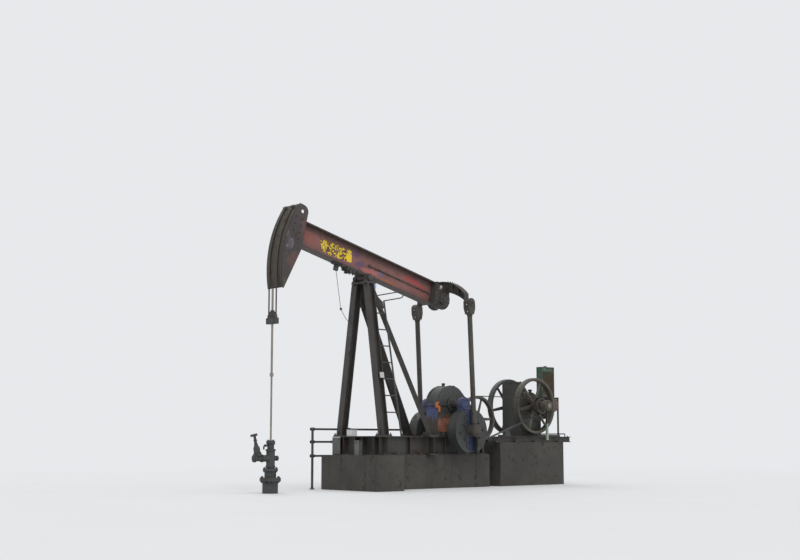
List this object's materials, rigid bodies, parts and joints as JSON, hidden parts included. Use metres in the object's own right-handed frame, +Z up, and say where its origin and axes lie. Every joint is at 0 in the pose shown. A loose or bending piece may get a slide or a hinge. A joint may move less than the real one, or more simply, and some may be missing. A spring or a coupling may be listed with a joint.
{
  "type": "beam pumping unit",
  "caption": "Beam pumping unit with horsehead, wirelines and polished rod, crank balance weights, belt-driven reducer, flywheel engine and wellhead.",
  "frame": {"origin": "on the ground, straight below the middle of the saddle bearing axis", "axes": "+X from the saddle towards the engine, +Y towards the far side with the guard rail, +Z up"},
  "size_m": [8.3452, 1.819, 5.2847],
  "materials": {
    "bar_steel": "weathered",
    "base_steel": "rusty",
    "beam_paint": "worn",
    "belt_rubber": "worn",
    "concrete": "weathered",
    "crank_paint": "worn",
    "engine_iron": "oily",
    "equalizer_paint": "weathered",
    "face_paint": "weathered",
    "flywheel_iron": "weathered",
    "head_paint": "worn",
    "pale_paint": "dusty",
    "post_steel": "rusty",
    "reducer_iron": "weathered",
    "rod_steel": "oily",
    "shaft_steel": "oily",
    "tank_paint": "worn",
    "weight_iron": "weathered",
    "well_steel": "weathered",
    "wheel_iron": "weathered",
    "wire_steel": "rusty"
  },
  "bodies": {
    "frame": {"foundation": "concrete", "skid_rails": "base_steel", "cross_beams": "base_steel", "front_leg_near": "post_steel", "front_leg_far": "post_steel", "rear_leg_near": "post_steel", "rear_leg_far": "post_steel", "post_cap": "post_steel", "ladder": "bar_steel", "ladder_hoop": "bar_steel", "reducer_housing": "reducer_iron", "reducer_base": "base_steel", "engine_skid": "base_steel", "crankcase": "engine_iron", "engine_cylinder": "engine_iron", "cooling_tank": "tank_paint", "tank_stand": "bar_steel", "magneto": "engine_iron", "drive_belt": "belt_rubber", "guard_rail": "bar_steel", "rail_brackets": "bar_steel", "casing_head": "well_steel", "pumping_tee": "well_steel", "stuffing_box": "well_steel", "wing_valve": "well_steel", "base_boxes": "pale_paint"},
    "walking_beam": {"beam": "beam_paint", "saddle_block": "post_steel", "tail_bearing": "post_steel", "head_frame": "head_paint", "head_side_near": "head_paint", "head_side_far": "head_paint", "head_face": "face_paint", "head_wirelines": "wire_steel", "grease_line": "bar_steel", "beam_lug": "bar_steel"},
    "pitman_arms": {"equalizer": "equalizer_paint", "pitman_near": "equalizer_paint", "pitman_far": "equalizer_paint"},
    "cranks": {"crankshaft": "shaft_steel", "crank_near": "crank_paint", "crank_far": "crank_paint", "weights_near": "weight_iron", "weights_far": "weight_iron"},
    "input_drive": {"sheave": "wheel_iron", "input_shaft": "shaft_steel"},
    "engine_drive": {"flywheel_near": "flywheel_iron", "flywheel_far": "flywheel_iron", "engine_shaft": "shaft_steel", "drive_pulley": "wheel_iron", "clutch": "wheel_iron"},
    "rod_string": {"carrier_bar": "well_steel", "polished_rod": "rod_steel", "hanging_wirelines": "wire_steel"}
  },
  "joints": [
    {"name": "beam_pivot", "type": "hinge", "parent": "frame", "child": "walking_beam", "pos_m": [0, 0, 4.05], "axis": [0, -1, 0], "range_deg": [0, 30.36]},
    {"name": "tail_pivot", "type": "hinge", "parent": "walking_beam", "child": "pitman_arms", "pos_m": [2.00857, 0, 3.78877], "axis": [0, -1, 0], "range_deg": [-29.58, 0]},
    {"name": "crank_turn", "type": "hinge", "parent": "frame", "child": "cranks", "pos_m": [2.21, 0, 1.66], "axis": [0, -1, 0], "range_deg": [0, 180.79]},
    {"name": "rod_slide", "type": "slide", "parent": "frame", "child": "rod_string", "axis": [0, 0, -1], "range_m": [0, 1.13822], "deforming": ["hanging_wirelines"]},
    {"name": "engine_turn", "type": "hinge", "parent": "frame", "child": "engine_drive", "pos_m": [4.71, 0, 1.675], "axis": [0, -1, 0], "continuous": true},
    {"name": "input_turn", "type": "hinge", "parent": "frame", "child": "input_drive", "pos_m": [2.77, 0, 1.37], "axis": [0, -1, 0], "continuous": true}
  ],
  "couplings": [
    {"joint": "tail_pivot", "follows": "beam_pivot", "ratio": -0.9742},
    {"joint": "crank_turn", "follows": "beam_pivot", "ratio": 5.9555},
    {"joint": "rod_slide", "follows": "beam_pivot", "m_per_rad": 2.1482},
    {"joint": "input_turn", "follows": "engine_turn", "ratio": 0.3617}
  ]
}
